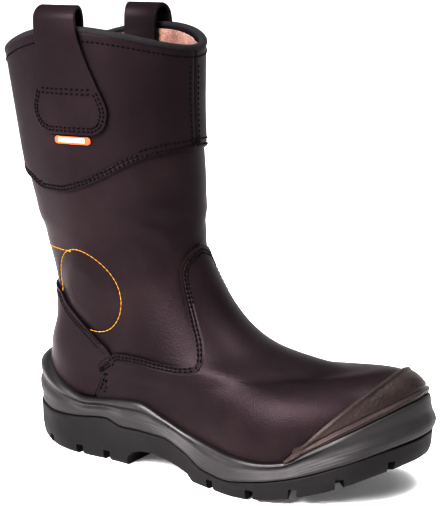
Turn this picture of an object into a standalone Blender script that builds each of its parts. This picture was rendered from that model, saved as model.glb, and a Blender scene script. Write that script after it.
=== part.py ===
"""Insulated pull-on work boot for the right foot: moulded two-layer sole, hollow leather upper,
leather overlays, collar binding and two pull loops. Metres, +Z up, toe towards +X, outer side at -Y."""

import math

import bmesh
import bpy
import numpy as np
from mathutils import Matrix, Vector

for old in list(bpy.data.objects):
    bpy.data.objects.remove(old, do_unlink=True)

# Driving sizes
SOLE_LENGTH = 0.312
BALL_WIDTH = 0.104
COLLAR_HEIGHT = 0.292
WALL = 0.0026
OVERLAY = 0.0018
CAP_THICKNESS = 0.0032
INSOLE_THICKNESS = 0.004
STRAP_THICKNESS = 0.0026
GAP = 0.0004
WELD = 0.00005

# Facets round the boot. Up the boot there is a row of facets at each section, and one more between each
# two sections of the bend from the toe to the shaft.
AROUND = 44
BEND = slice(3, 12)

# Sections of the last, one row each from the feather line to the collar. Runs are shares of SOLE_LENGTH
# from the back of the heel, rises are shares of COLLAR_HEIGHT, half widths are shares of BALL_WIDTH / 2.
# dip lowers the section under the ball, saddle lifts it at the sides.
LAST_COLUMNS = (
    "back_run", "back_rise", "front_run", "front_rise", "heel", "waist", "ball", "toe", "dip", "saddle"
)
LAST_ROWS = {
    "feather": (0.062, 0.116, 0.968, 0.160, 0.66, 0.68, 0.94, 0.76, 0.060, 0.000),
    "heel_cup": (0.050, 0.154, 0.986, 0.202, 0.71, 0.74, 1.00, 0.80, 0.048, 0.000),
    "toe_bulge": (0.048, 0.188, 0.984, 0.244, 0.73, 0.77, 0.94, 0.75, 0.032, 0.000),
    "toe_crown": (0.050, 0.208, 0.962, 0.281, 0.73, 0.78, 0.81, 0.60, 0.016, -0.014),
    "cap_edge": (0.052, 0.222, 0.914, 0.291, 0.73, 0.79, 0.72, 0.42, 0.005, -0.021),
    "vamp": (0.055, 0.240, 0.842, 0.280, 0.73, 0.80, 0.725, 0.42, 0.000, -0.018),
    "joint": (0.061, 0.258, 0.752, 0.290, 0.73, 0.80, 0.735, 0.45, 0.000, -0.015),
    "low_instep": (0.068, 0.280, 0.660, 0.309, 0.73, 0.81, 0.72, 0.46, 0.000, -0.011),
    "instep": (0.080, 0.305, 0.576, 0.359, 0.72, 0.82, 0.715, 0.46, 0.000, -0.005),
    "high_instep": (0.093, 0.340, 0.506, 0.443, 0.70, 0.83, 0.72, 0.45, 0.000, 0.000),
    "ankle": (0.094, 0.386, 0.459, 0.535, 0.68, 0.86, 0.75, 0.46, 0.000, 0.000),
    "throat": (0.079, 0.455, 0.456, 0.617, 0.68, 0.92, 0.80, 0.48, 0.000, 0.004),
    "low_shaft": (0.043, 0.567, 0.451, 0.708, 0.72, 0.98, 0.86, 0.53, 0.000, 0.008),
    "mid_shaft": (0.007, 0.699, 0.442, 0.805, 0.77, 1.05, 0.93, 0.56, 0.000, 0.016),
    "high_shaft": (-0.018, 0.852, 0.437, 0.907, 0.82, 1.11, 0.98, 0.59, 0.000, 0.030),
    "collar": (-0.041, 0.974, 0.437, 1.014, 0.85, 1.16, 1.02, 0.61, 0.000, 0.062),
}
# Where along a section, from back to front, the four half widths are given
STATIONS = {"heel": 0.15, "waist": 0.50, "ball": 0.73, "toe": 0.92}

# Curve of the foot in plan (run as a share of SOLE_LENGTH, shift in metres): the middle line swings
# outwards at the waist and inwards at the toe, and is straight above the ankle
SWING_ROWS = ((-0.1, 0.0), (0.25, 0.0), (0.48, -0.0015), (0.68, 0.0020), (0.86, 0.0130), (1.0, 0.0240))
SWING_ENDS = (0.30, 0.50)

# Sole heights by bearing round the boot, in degrees from the toe tip (0) to the back of the heel (180), with
# how far the sole flares out and how far the bumper is drawn in above its bulge
SOLE_COLUMNS = ("bearing", "tread", "joint", "top", "flare", "neck")
SOLE_ROWS = (
    (0, 0.0290, 0.0455, 0.0710, 0.0040, 0.0039),
    (12, 0.0280, 0.0440, 0.0690, 0.0040, 0.0036),
    (24, 0.0240, 0.0405, 0.0640, 0.0030, 0.0026),
    (38, 0.0150, 0.0315, 0.0530, 0.0015, 0.0008),
    (48, 0.0085, 0.0240, 0.0415, 0.0000, 0.0000),
    (57, 0.0040, 0.0185, 0.0300, 0.0000, 0.0000),
    (66, 0.0010, 0.0140, 0.0275, 0.0005, 0.0000),
    (74, 0.0000, 0.0110, 0.0280, 0.0015, 0.0000),
    (82, 0.0000, 0.0130, 0.0305, 0.0015, 0.0000),
    (90, 0.0000, 0.0215, 0.0345, 0.0005, 0.0000),
    (98, 0.0000, 0.0280, 0.0420, 0.0000, 0.0000),
    (107, 0.0000, 0.0285, 0.0500, 0.0000, 0.0000),
    (113, 0.0000, 0.0280, 0.0490, 0.0000, 0.0000),
    (120, 0.0000, 0.0320, 0.0465, 0.0000, 0.0000),
    (129, 0.0000, 0.0300, 0.0445, 0.0010, 0.0000),
    (137, 0.0000, 0.0285, 0.0490, 0.0020, 0.0000),
    (148, 0.0000, 0.0272, 0.0560, 0.0030, 0.0000),
    (165, 0.0020, 0.0280, 0.0640, 0.0055, 0.0000),
    (180, 0.0030, 0.0290, 0.0670, 0.0065, 0.0000),
)

# Side of the midsole, from its joint with the outsole (share 0) to its top edge (share 1): the lower band,
# the groove and the rounded bead. Outsets are from the leather.
MIDSOLE_ROWS = (
    (0.00, 0.0062), (0.10, 0.0074), (0.38, 0.0066), (0.52, 0.0044), (0.60, 0.0040), (0.68, 0.0050),
    (0.82, 0.0052), (0.94, 0.0040), (1.00, 0.0018)
)

# Side of the outsole, from the tread (share 0) to its joint with the midsole (share 1)
OUTSOLE_ROWS = ((0.00, 0.0036), (0.10, 0.0062), (0.55, 0.0076), (0.92, 0.0078), (1.00, 0.0066))

# Gap under the arch, as it shows from the side (run and height in metres)
ARCH_ROWS = (
    (0.1085, -0.002), (0.1110, 0.008), (0.1150, 0.0115), (0.1230, 0.0138), (0.1330, 0.0145),
    (0.1450, 0.0125), (0.1560, 0.0095), (0.1640, 0.0065), (0.1690, -0.002)
)
# Grooves between the side lugs, by run, with the length that they reach in from the edge
GROOVE_ROWS = (
    (0.040, 0.018), (0.067, 0.026), (0.091, 0.026), (0.188, 0.028), (0.220, 0.030), (0.246, 0.028),
    (0.273, 0.022), (0.294, 0.014)
)
GROOVE_WIDTH = 0.0052
GROOVE_DEPTH = 0.0065

# Upper edges of the leather overlays: bearing in degrees and height in metres, alike on both sides
VAMP_EDGE = (
    (0, 0.1600), (14, 0.1560), (22, 0.1510), (27, 0.1455), (30, 0.1400), (35, 0.1250), (40, 0.1095),
    (46, 0.0973), (52, 0.0900), (57, 0.0855), (63, 0.0824), (70, 0.0812), (77, 0.0820), (85, 0.0834),
    (92, 0.0836), (98, 0.0825), (102, 0.0800), (111, 0.0745), (118, 0.0670), (122, 0.0550), (125, 0.0460)
)
COUNTER_EDGE = (
    (100, 0.0845), (103, 0.0895), (107, 0.0955), (118, 0.1065), (125, 0.1130), (132, 0.1210), (150, 0.1240),
    (180, 0.1250)
)
VAMP_END = 124
VAMP_CORNERS = (-122, -37, -29, 29, 37, 122)
COUNTER_END = 101
COUNTER_CORNERS = (122, 124, 236, 238)
CUFF_EDGE = (
    (0, 0.2292), (15, 0.2284), (34, 0.2260), (50, 0.2206), (71, 0.2090), (85, 0.2022), (103, 0.1968),
    (117, 0.1966), (133, 0.2030), (155, 0.2085), (180, 0.2100)
)
# Back edge of the toe cap: it leans back from this run and height at the sole
CAP_RUN = 0.239
CAP_FOOT = 0.0317
CAP_LEAN = 1.02
CAP_END = 56

# Padded oval over each ankle, as seen from the side, with its long axis leaning forwards and down
PAD_RUN = 0.0755
PAD_HEIGHT = 0.1253
PAD_LONG = 0.0325
PAD_SHORT = 0.0258
PAD_TURN = -45
PAD_RISE = 0.0020

# Section of the collar binding, round the top edge of the leather
BINDING_COLUMNS = ("outset", "rise")
BINDING_ROWS = (
    (0.0024, 0.0000), (0.0031, 0.0022), (0.0014, 0.0044), (-0.0022, 0.0044), (-0.0038, 0.0022),
    (-0.0030, 0.0000)
)

# Pull loop from the tab on the cuff, over the collar and down inside. Runs and half widths are those of the
# strap as seen from the side, outsets are from the leather to the middle of the strap.
LOOP_COLUMNS = ("height", "run", "outset", "half_width")
LOOP_ROWS = (
    (0.2388, 0.0745, 0.0040, 0.0165), (0.2415, 0.0738, 0.0040, 0.0225), (0.2470, 0.0730, 0.0040, 0.0268),
    (0.2550, 0.0722, 0.0040, 0.0287), (0.2650, 0.0720, 0.0040, 0.0262), (0.2740, 0.0718, 0.0040, 0.0225),
    (0.2860, 0.0700, 0.0040, 0.0194), (0.2980, 0.0678, 0.0042, 0.0173), (0.3080, 0.0663, 0.0051, 0.0163),
    (0.3180, 0.0653, 0.0048, 0.0159), (0.3235, 0.0650, 0.0018, 0.0157), (0.3255, 0.0648, -0.0030, 0.0157),
    (0.3230, 0.0648, -0.0078, 0.0157), (0.3160, 0.0648, -0.0104, 0.0157), (0.3060, 0.0648, -0.0106, 0.0157),
    (0.2820, 0.0648, -0.0100, 0.0157)
)
# The inner loop sits this much further back than the outer one
INNER_LOOP_SETBACK = 0.0080

# Plain label under the outer loop's tab
LABEL_RUN = 0.0753
LABEL_HEIGHT = 0.2350
LABEL_SIZE = (0.0276, 0.0054)
LABEL_THICKNESS = 0.0012


def curve(knots, values, at):
    """Smooth curve through values at knots, without overshoot. Each point may have values of its own."""
    knots = np.asarray(knots, float)
    at = np.clip(np.asarray(at, float), knots[0], knots[-1])
    values = np.asarray(values, float)
    if values.ndim == 1:
        values = values.reshape(-1, *[1] * at.ndim)
    values = np.broadcast_to(values, (len(knots), *at.shape))
    steps = np.diff(knots).reshape(-1, *[1] * at.ndim)
    rates = np.diff(values, axis=0) / steps
    before, after = rates[:-1], rates[1:]
    same = before * after > 0
    weight_before = 2 * steps[1:] + steps[:-1]
    weight_after = steps[1:] + 2 * steps[:-1]
    safe_before = np.where(same, before, 1)
    safe_after = np.where(same, after, 1)
    mean = (weight_before + weight_after) / (weight_before / safe_before + weight_after / safe_after)
    slopes = np.concatenate([rates[:1], np.where(same, mean, 0), rates[-1:]])
    i = np.clip(np.searchsorted(knots, at, side="right") - 1, 0, len(knots) - 2)
    step = knots[i + 1] - knots[i]
    s = (at - knots[i]) / step

    def pick(table, index):
        return np.take_along_axis(table, index[None], axis=0)[0]

    return (
        (2 * s**3 - 3 * s**2 + 1) * pick(values, i)
        + (s**3 - 2 * s**2 + s) * step * pick(slopes, i)
        + (3 * s**2 - 2 * s**3) * pick(values, i + 1)
        + (s**3 - s**2) * step * pick(slopes, i + 1)
    )


def ease(low, high, at):
    """0 below low, 1 above high and a soft ramp between."""
    t = np.clip((at - low) / (high - low), 0, 1)
    return t * t * (3 - 2 * t)


HALF = BALL_WIDTH / 2
LAST_UNITS = (
    SOLE_LENGTH, COLLAR_HEIGHT, SOLE_LENGTH, COLLAR_HEIGHT, HALF, HALF, HALF, HALF, COLLAR_HEIGHT, COLLAR_HEIGHT
)
LAST = np.array(list(LAST_ROWS.values())) * np.array(LAST_UNITS)
ROW_STEPS = np.linalg.norm(np.diff(LAST[:, :4], axis=0), axis=1)
LEVELS = np.concatenate([[0], np.cumsum(ROW_STEPS)]) / ROW_STEPS.sum()
BEND_LEVELS = (LEVELS[BEND][:-1] + LEVELS[BEND][1:]) / 2
FACET_LEVELS = np.sort(np.concatenate([LEVELS, BEND_LEVELS]))


def last_column(name, level):
    """Column of the last's table at a level, in metres."""
    return curve(LEVELS, LAST[:, LAST_COLUMNS.index(name)], level)


def last_point(bearing, level):
    """Point of the last's skin. The bearing is in radians from the toe round the outer side, the level runs
    from the feather line (0) to the collar (1)."""
    bearing, level = np.broadcast_arrays(np.asarray(bearing, float), np.asarray(level, float))
    along = (1 + np.cos(bearing)) / 2
    back_run, front_run = last_column("back_run", level), last_column("front_run", level)
    back_rise, front_rise = last_column("back_rise", level), last_column("front_rise", level)
    x = back_run + along * (front_run - back_run)
    z = back_rise + along * (front_rise - back_rise)
    z = z - last_column("dip", level) * np.exp(-(((along - 0.68) / 0.22) ** 2))
    z = z + last_column("saddle", level) * np.sin(bearing) ** 2
    closed = np.zeros_like(level)
    squares = np.stack([closed] + [last_column(name, level) ** 2 for name in STATIONS] + [closed])
    half = np.sqrt(np.maximum(curve([0.0, *STATIONS.values(), 1.0], squares, along), 0))
    runs, shifts = np.array(SWING_ROWS).T
    straight = ease(SWING_ENDS[0] * COLLAR_HEIGHT, SWING_ENDS[1] * COLLAR_HEIGHT, z)
    swing = curve(runs * SOLE_LENGTH, shifts, x) * (1 - straight)
    y = swing - np.sign(np.sin(bearing)) * half
    return np.stack([x, y, z], axis=-1)


def last_normal(bearing, level):
    """Outward direction of the skin."""
    step = 1e-4
    bearing, level = np.broadcast_arrays(np.asarray(bearing, float), np.asarray(level, float))
    round_it = last_point(bearing + step, level) - last_point(bearing - step, level)
    up_it = last_point(bearing, np.minimum(level + step, 1)) - last_point(bearing, np.maximum(level - step, 0))
    normal = np.cross(up_it, round_it)
    return normal / np.linalg.norm(normal, axis=-1, keepdims=True)


def skin(bearing, level, offset):
    """Point that lies an offset outside the leather, which swells over the ankle pads."""
    point = last_point(bearing, level)
    run, rise = point[..., 0] - PAD_RUN, point[..., 2] - PAD_HEIGHT
    cosine, sine = math.cos(math.radians(PAD_TURN)), math.sin(math.radians(PAD_TURN))
    away = np.hypot((run * cosine + rise * sine) / PAD_LONG, (rise * cosine - run * sine) / PAD_SHORT)
    swell = PAD_RISE * (1 - ease(0.35, 1.0, away))
    return point + (offset + swell)[..., None] * last_normal(bearing, level)


def level_at(bearing, height):
    """Level at which the skin reaches a height, along one bearing."""
    bearing, height = np.broadcast_arrays(np.asarray(bearing, float), np.asarray(height, float))
    low, high = np.zeros(bearing.shape), np.ones(bearing.shape)
    for _ in range(24):
        middle = (low + high) / 2
        below = last_point(bearing, middle)[..., 2] < height
        low, high = np.where(below, middle, low), np.where(below, high, middle)
    return (low + high) / 2


def wall_point(bearing, height, outset):
    """Point at a height, an outset away from the skin in plan, or straight above the collar."""
    level = level_at(bearing, height)
    normal = last_normal(bearing, level) * (1, 1, 0)
    normal = normal / np.linalg.norm(normal, axis=-1, keepdims=True)
    point = last_point(bearing, level) + np.asarray(outset)[..., None] * normal
    point[..., 2] = height
    return point


def edge_level(rows, bearing):
    """Level of an overlay's edge at a bearing, the same on both sides."""
    degrees, heights = np.array(rows).T
    return level_at(bearing, curve(degrees, heights, np.degrees(np.arccos(np.cos(bearing)))))


def cap_level(bearing):
    """Level at which the skin passes the back edge of the toe cap."""
    low, high = np.zeros(len(bearing)), np.full(len(bearing), 0.5)
    for _ in range(24):
        middle = (low + high) / 2
        point = last_point(bearing, middle)
        under = point[:, 0] > CAP_RUN + CAP_LEAN * (point[:, 2] - CAP_FOOT)
        low, high = np.where(under, middle, low), np.where(under, high, middle)
    return (low + high) / 2


def bearing_at(run, height):
    """Bearing on the outer side at which the skin has this run and height."""
    low, high = np.zeros(np.shape(run)), np.full(np.shape(run), math.pi)
    for _ in range(24):
        middle = (low + high) / 2
        ahead = last_point(middle, level_at(middle, height))[..., 0] > run
        low, high = np.where(ahead, middle, low), np.where(ahead, high, middle)
    return (low + high) / 2


def sole_height(column, bearing):
    """Height of a line of the sole at a bearing, the same on both sides."""
    degrees = np.degrees(np.arccos(np.cos(bearing)))
    rows = np.array(SOLE_ROWS)
    return curve(rows[:, 0], rows[:, SOLE_COLUMNS.index(column)], degrees)


def material(name, colour, roughness):
    made = bpy.data.materials.new(name)
    made.use_nodes = True
    shader = made.node_tree.nodes["Principled BSDF"]
    shader.inputs["Base Color"].default_value = (*colour, 1)
    shader.inputs["Roughness"].default_value = roughness
    shader.inputs["Metallic"].default_value = 0
    return made


def add_object(name, bm, finish=None):
    bmesh.ops.recalc_face_normals(bm, faces=bm.faces)
    mesh = bpy.data.meshes.new(name)
    bm.to_mesh(mesh)
    bm.free()
    made = bpy.data.objects.new(name, mesh)
    bpy.context.scene.collection.objects.link(made)
    if finish:
        mesh.materials.append(finish)
    return made


def add_quad(bm, a, b, c, d):
    """Quad as two triangles, split along a and c, so that pieces that lie on each other split alike."""
    bm.faces.new((a, b, c))
    bm.faces.new((a, c, d))


def ringed_solid(name, rings, finish):
    """Closed solid through a stack of rings. Each end is closed by a ladder of faces across the boot."""
    bm = bmesh.new()
    loops = [[bm.verts.new(point) for point in ring] for ring in rings]
    count = len(loops[0])
    for lower, upper in zip(loops, loops[1:]):
        for i in range(count):
            j = (i + 1) % count
            add_quad(bm, lower[i], lower[j], upper[j], upper[i])
    for loop in (loops[0], loops[-1]):
        bm.faces.new((loop[0], loop[1], loop[-1]))
        for i in range(1, count // 2 - 1):
            add_quad(bm, loop[i], loop[i + 1], loop[count - i - 1], loop[count - i])
        bm.faces.new((loop[count // 2 - 1], loop[count // 2], loop[count // 2 + 1]))
    return add_object(name, bm, finish)


def tube(name, rings, finish):
    """Closed strip that runs right round the boot, through the rings at the corners of its section."""
    bm = bmesh.new()
    loops = [[bm.verts.new(point) for point in ring] for ring in rings]
    count = len(loops[0])
    for before, after in zip(loops[-1:] + loops[:-1], loops):
        for i in range(count):
            j = (i + 1) % count
            add_quad(bm, before[i], before[j], after[j], after[i])
    return add_object(name, bm, finish)


def shell(name, inner, outer, closed, finish):
    """Closed sheet between two grids of points, each with its rows going up and its columns going round."""
    bm = bmesh.new()
    grids = [[[bm.verts.new(point) for point in row] for row in grid] for grid in (inner, outer)]
    rows, columns = len(inner), len(inner[0])
    last = columns if closed else columns - 1
    for grid in grids:
        for r in range(rows - 1):
            for c in range(last):
                d = (c + 1) % columns
                add_quad(bm, grid[r][c], grid[r][d], grid[r + 1][d], grid[r + 1][c])
    inside, outside = grids
    for r in (0, rows - 1):
        for c in range(last):
            d = (c + 1) % columns
            add_quad(bm, inside[r][c], inside[r][d], outside[r][d], outside[r][c])
    if not closed:
        for c in (0, columns - 1):
            for r in range(rows - 1):
                add_quad(bm, inside[r][c], inside[r + 1][c], outside[r + 1][c], outside[r][c])
    bmesh.ops.remove_doubles(bm, verts=bm.verts, dist=WELD)
    return add_object(name, bm, finish)


def overlay(name, bearing, low, high, inside, thickness, closed, finish):
    """Leather piece between two skins, cut off at a lower and an upper level at each bearing."""
    level = np.clip(FACET_LEVELS[:, None], low, high)
    bearing = np.broadcast_to(bearing, level.shape)
    return shell(name, skin(bearing, level, inside), skin(bearing, level, inside + thickness), closed, finish)


def bearings_between(first, last, extra=()):
    """The facets' bearings between two ends in degrees, with the ends themselves and any extra ones."""
    degrees = np.degrees(np.concatenate([BEARINGS - FULL_TURN, BEARINGS]))
    inside = degrees[(degrees > first + 2) & (degrees < last - 2)]
    return np.radians(np.sort(np.concatenate([[first, last], inside, extra])))


def above_midsole(bearing, thickness):
    """Level at which a leather piece of this thickness clears the midsole's top edge."""
    height = sole_height("top", bearing) + 2 * GAP
    lean = last_normal(bearing, level_at(bearing, height))[:, 2]
    return level_at(bearing, height + np.maximum(-lean, 0) * (GAP + thickness))


def prism(bm, outline, across):
    """Block whose outline shows from the side, cut off at two places across."""
    ends = [[bm.verts.new((x, y, z)) for x, z in outline] for y in across]
    for i in range(len(outline)):
        j = (i + 1) % len(outline)
        bm.faces.new((ends[0][i], ends[0][j], ends[1][j], ends[1][i]))
    bm.faces.new(ends[0])
    bm.faces.new(ends[1])


def cut(target, cutter):
    cutter.hide_render = True
    cutter.display_type = "WIRE"
    step = target.modifiers.new(cutter.name, "BOOLEAN")
    step.operation = "DIFFERENCE"
    step.solver = "EXACT"
    step.object = cutter


LEATHER = material("brown_leather", (0.045, 0.028, 0.024), 0.45)
CUFF_LEATHER = material("cuff_leather", (0.035, 0.026, 0.025), 0.55)
RUBBER = material("black_rubber", (0.022, 0.021, 0.021), 0.75)
MOULDED = material("black_moulded_foam", (0.032, 0.030, 0.031), 0.45)
CAP_COAT = material("coated_cap", (0.030, 0.024, 0.021), 0.40)
BINDING_TAPE = material("binding_tape", (0.018, 0.017, 0.018), 0.6)
LABEL_TAPE = material("orange_label", (0.80, 0.25, 0.06), 0.6)
BOARD = material("insole_board", (0.20, 0.15, 0.11), 0.9)

turns = np.arange(AROUND) * 2 * math.pi / AROUND
BEARINGS = turns + 0.15 * np.sin(2 * turns)
FULL_TURN = 2 * math.pi

# Outsole: tread, heel block, arch gap and side lugs
tread = sole_height("tread", BEARINGS)
joint = sole_height("joint", BEARINGS)
top = sole_height("top", BEARINGS)
flare = sole_height("flare", BEARINGS)
neck = sole_height("neck", BEARINGS)
outsole_rings = [
    wall_point(BEARINGS, tread + share * (joint - tread), flare + outset) for share, outset in OUTSOLE_ROWS
]
outsole = ringed_solid("outsole", outsole_rings, RUBBER)

arch = bmesh.new()
prism(arch, ARCH_ROWS, (-BALL_WIDTH, BALL_WIDTH))
cut(outsole, add_object("arch_cutter", arch))

groove_bearing = bearing_at(np.array(GROOVE_ROWS)[:, 0], np.full(len(GROOVE_ROWS), CAP_FOOT))
grooves = bmesh.new()
for (run, reach), outer in zip(GROOVE_ROWS, groove_bearing):
    for side in (outer, FULL_TURN - outer):
        side = np.array([side])
        base = sole_height("tread", side)
        edge = Vector(wall_point(side, base, np.array([0.012]))[0])
        inner = Vector(wall_point(side, base, np.array([0.006 - reach]))[0])
        inwards = (inner - edge) * Vector((1, 1, 0))
        length = inwards.length
        middle = edge + inwards / 2
        place = (
            Matrix.Translation((middle.x, middle.y, base[0] + GROOVE_DEPTH / 2 - 0.004))
            @ Matrix.Rotation(math.atan2(inwards.y, inwards.x), 4, "Z")
            @ Matrix.Diagonal((length, GROOVE_WIDTH, GROOVE_DEPTH + 0.008, 1))
        )
        bmesh.ops.create_cube(grooves, size=1, matrix=place)
cut(outsole, add_object("groove_cutter", grooves))

# Midsole: band, groove and bead outside, a cup for the upper inside
floor = last_point(BEARINGS, 0.0)[:, 2] - GAP
midsole_rings = []
for share, outset in MIDSOLE_ROWS:
    side = outset + flare * (1 - share**6) - neck * ease(0.15, 0.55, share)
    height = joint + GAP + share * (top - joint - GAP)
    midsole_rings.append(wall_point(BEARINGS, height, np.maximum(side, MIDSOLE_ROWS[-1][1])))
cup_outset = np.full(AROUND, 1.5 * GAP)
midsole_rings += [
    wall_point(BEARINGS, top + share * (floor - top), cup_outset) for share in (0, 0.25, 0.5, 0.75, 1)
]
ringed_solid("midsole", midsole_rings, MOULDED)

# Insole
insole_inset = np.full(AROUND, -WALL - 3 * GAP)
insole_rings = [wall_point(BEARINGS, floor + GAP + rise, insole_inset) for rise in (0.0, INSOLE_THICKNESS)]
ringed_solid("insole", insole_rings, BOARD)

# Upper, open under the foot and at the collar
ones = np.ones(AROUND)
overlay("upper", BEARINGS, 0 * ones, ones, -WALL, WALL, True, LEATHER)

# Toe cap, from the midsole to its slanting back edge
cap_bearing = bearings_between(-CAP_END, CAP_END)
cap_low = above_midsole(cap_bearing, CAP_THICKNESS + GAP)
overlay("toe_cap", cap_bearing, cap_low, cap_level(cap_bearing), 2 * GAP, CAP_THICKNESS, False, CAP_COAT)

# Vamp, from the toe cap and the midsole to its stitched edge
vamp_bearing = bearings_between(-VAMP_END, VAMP_END, VAMP_CORNERS)
vamp_low = np.maximum(above_midsole(vamp_bearing, OVERLAY), cap_level(vamp_bearing) + 0.002)
overlay("vamp", vamp_bearing, vamp_low, edge_level(VAMP_EDGE, vamp_bearing), 1.5 * GAP, OVERLAY, False, LEATHER)

# Heel counter, behind the vamp and above the midsole
counter_bearing = bearings_between(COUNTER_END, 360 - COUNTER_END, COUNTER_CORNERS)
counter_foot = edge_level(VAMP_EDGE, counter_bearing) + 0.003
counter_low = np.maximum(above_midsole(counter_bearing, OVERLAY), counter_foot)
counter_high = edge_level(COUNTER_EDGE, counter_bearing)
overlay("heel_counter", counter_bearing, counter_low, counter_high, 1.5 * GAP, OVERLAY, False, LEATHER)

# Cuff, from its waved edge to the collar
overlay("cuff", BEARINGS, edge_level(CUFF_EDGE, BEARINGS), ones, GAP, OVERLAY, True, CUFF_LEATHER)

# Collar binding, a rolled strip on the top edge
binding_rings = [skin(BEARINGS, ones, outset) + np.array((0, 0, GAP + rise)) for outset, rise in BINDING_ROWS]
tube("collar_binding", binding_rings, BINDING_TAPE)


def pull_loop(name, side, setback):
    """Strap swept along the loop's path, bent round the boot across its width."""
    grid = []
    for height, run, outset, half_width in LOOP_ROWS:
        heights = np.full(7, height)
        turn = bearing_at(run - setback + np.linspace(1, -1, 7) * half_width, heights)
        grid.append(wall_point(side * turn, heights, np.full(7, outset)))
    grid = np.array(grid)
    along = np.gradient(grid, axis=0)
    across = np.gradient(grid, axis=1)
    normal = np.cross(along, across)
    normal = normal / np.linalg.norm(normal, axis=-1, keepdims=True) * STRAP_THICKNESS / 2
    return shell(name, grid - normal, grid + normal, False, LEATHER)


pull_loop("pull_loop_outer", 1, 0)
pull_loop("pull_loop_inner", -1, INNER_LOOP_SETBACK)

# Label
label_bearing = bearing_at(LABEL_RUN + np.linspace(0.5, -0.5, 6) * LABEL_SIZE[0], np.full(6, LABEL_HEIGHT))
label_low = level_at(label_bearing, np.full(6, LABEL_HEIGHT - LABEL_SIZE[1] / 2))
label_high = level_at(label_bearing, np.full(6, LABEL_HEIGHT + LABEL_SIZE[1] / 2))
label_inside = OVERLAY + 2 * GAP
overlay("label_tab", label_bearing, label_low, label_high, label_inside, LABEL_THICKNESS, False, LABEL_TAPE)

# The origin lies on the floor under the middle of the bounding box
corners = np.array([v.co for made in bpy.data.objects if not made.hide_render for v in made.data.vertices])
SHIFT = (corners.min(axis=0) + corners.max(axis=0)) / 2 * (1, 1, 0)
for made in bpy.data.objects:
    made.data.transform(Matrix.Translation(-Vector(SHIFT)))
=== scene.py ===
"""Looks of a pull-on insulated work boot for the right foot. Every piece is laid over the same last as the
solids. Metres, +Z up, toe towards +X, outer side at -Y."""

import math

import bpy
import numpy as np
from mathutils import Matrix, Vector, kdtree, noise
from mathutils.bvhtree import BVHTree


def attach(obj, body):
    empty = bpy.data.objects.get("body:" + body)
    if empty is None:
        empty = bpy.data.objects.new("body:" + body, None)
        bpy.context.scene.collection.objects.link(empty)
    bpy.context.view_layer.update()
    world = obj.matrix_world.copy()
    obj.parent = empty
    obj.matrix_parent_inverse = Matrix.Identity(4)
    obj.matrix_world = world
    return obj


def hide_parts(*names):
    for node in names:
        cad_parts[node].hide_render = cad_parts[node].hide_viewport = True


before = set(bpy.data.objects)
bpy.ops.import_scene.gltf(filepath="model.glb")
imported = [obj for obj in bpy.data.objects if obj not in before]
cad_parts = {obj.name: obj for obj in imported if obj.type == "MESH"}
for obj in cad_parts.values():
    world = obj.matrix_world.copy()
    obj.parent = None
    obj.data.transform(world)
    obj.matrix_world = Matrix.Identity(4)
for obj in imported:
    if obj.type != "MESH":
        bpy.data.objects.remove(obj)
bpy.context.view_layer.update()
bpy.ops.object.select_all(action="DESELECT")

# Outsole: one moulded piece of matt black rubber with a heel block, a gap under the arch and side lugs.
# It is moulded on to the midsole. Its side follows the last, which is set out here: a row for each section
# from the feather line to the collar, with the runs of its ends, their heights and four half widths.
SOLE_LENGTH = 0.312
BALL_HALF = 0.052
COLLAR_HEIGHT = 0.292
HEEL_BACK = -0.14990028
WALL = 0.0026
LAST_COLUMNS = (
    "back_run", "back_rise", "front_run", "front_rise", "heel", "waist", "ball", "toe", "dip", "saddle"
)
LAST_ROWS = {
    "feather": (0.062, 0.116, 0.968, 0.160, 0.66, 0.68, 0.94, 0.76, 0.060, 0.000),
    "heel_cup": (0.050, 0.154, 0.986, 0.202, 0.71, 0.74, 1.00, 0.80, 0.048, 0.000),
    "toe_bulge": (0.048, 0.188, 0.984, 0.244, 0.73, 0.77, 0.94, 0.75, 0.032, 0.000),
    "toe_crown": (0.050, 0.208, 0.962, 0.281, 0.73, 0.78, 0.81, 0.60, 0.016, -0.014),
    "cap_edge": (0.052, 0.222, 0.914, 0.291, 0.73, 0.79, 0.72, 0.42, 0.005, -0.021),
    "vamp": (0.055, 0.240, 0.842, 0.280, 0.73, 0.80, 0.725, 0.42, 0.000, -0.018),
    "joint": (0.061, 0.258, 0.752, 0.290, 0.73, 0.80, 0.735, 0.45, 0.000, -0.015),
    "low_instep": (0.068, 0.280, 0.660, 0.309, 0.73, 0.81, 0.72, 0.46, 0.000, -0.011),
    "instep": (0.080, 0.305, 0.576, 0.359, 0.72, 0.82, 0.715, 0.46, 0.000, -0.005),
    "high_instep": (0.093, 0.340, 0.506, 0.443, 0.70, 0.83, 0.72, 0.45, 0.000, 0.000),
    "ankle": (0.094, 0.386, 0.459, 0.535, 0.68, 0.86, 0.75, 0.46, 0.000, 0.000),
    "throat": (0.079, 0.455, 0.456, 0.617, 0.68, 0.92, 0.80, 0.48, 0.000, 0.004),
    "low_shaft": (0.043, 0.567, 0.451, 0.708, 0.72, 0.98, 0.86, 0.53, 0.000, 0.008),
    "mid_shaft": (0.007, 0.699, 0.442, 0.805, 0.77, 1.05, 0.93, 0.56, 0.000, 0.016),
    "high_shaft": (-0.018, 0.852, 0.437, 0.907, 0.82, 1.11, 0.98, 0.59, 0.000, 0.030),
    "collar": (-0.041, 0.974, 0.437, 1.014, 0.85, 1.16, 1.02, 0.61, 0.000, 0.062),
}
STATIONS = {"heel": 0.15, "waist": 0.50, "ball": 0.73, "toe": 0.92}
SWING_ROWS = ((-0.1, 0.0), (0.25, 0.0), (0.48, -0.0015), (0.68, 0.0020), (0.86, 0.0130), (1.0, 0.0240))
SWING_ENDS = (0.30, 0.50)
LAST_UNITS = (SOLE_LENGTH, COLLAR_HEIGHT) * 2 + (BALL_HALF,) * 4 + (COLLAR_HEIGHT,) * 2
LAST = np.array(list(LAST_ROWS.values())) * np.array(LAST_UNITS)
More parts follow.
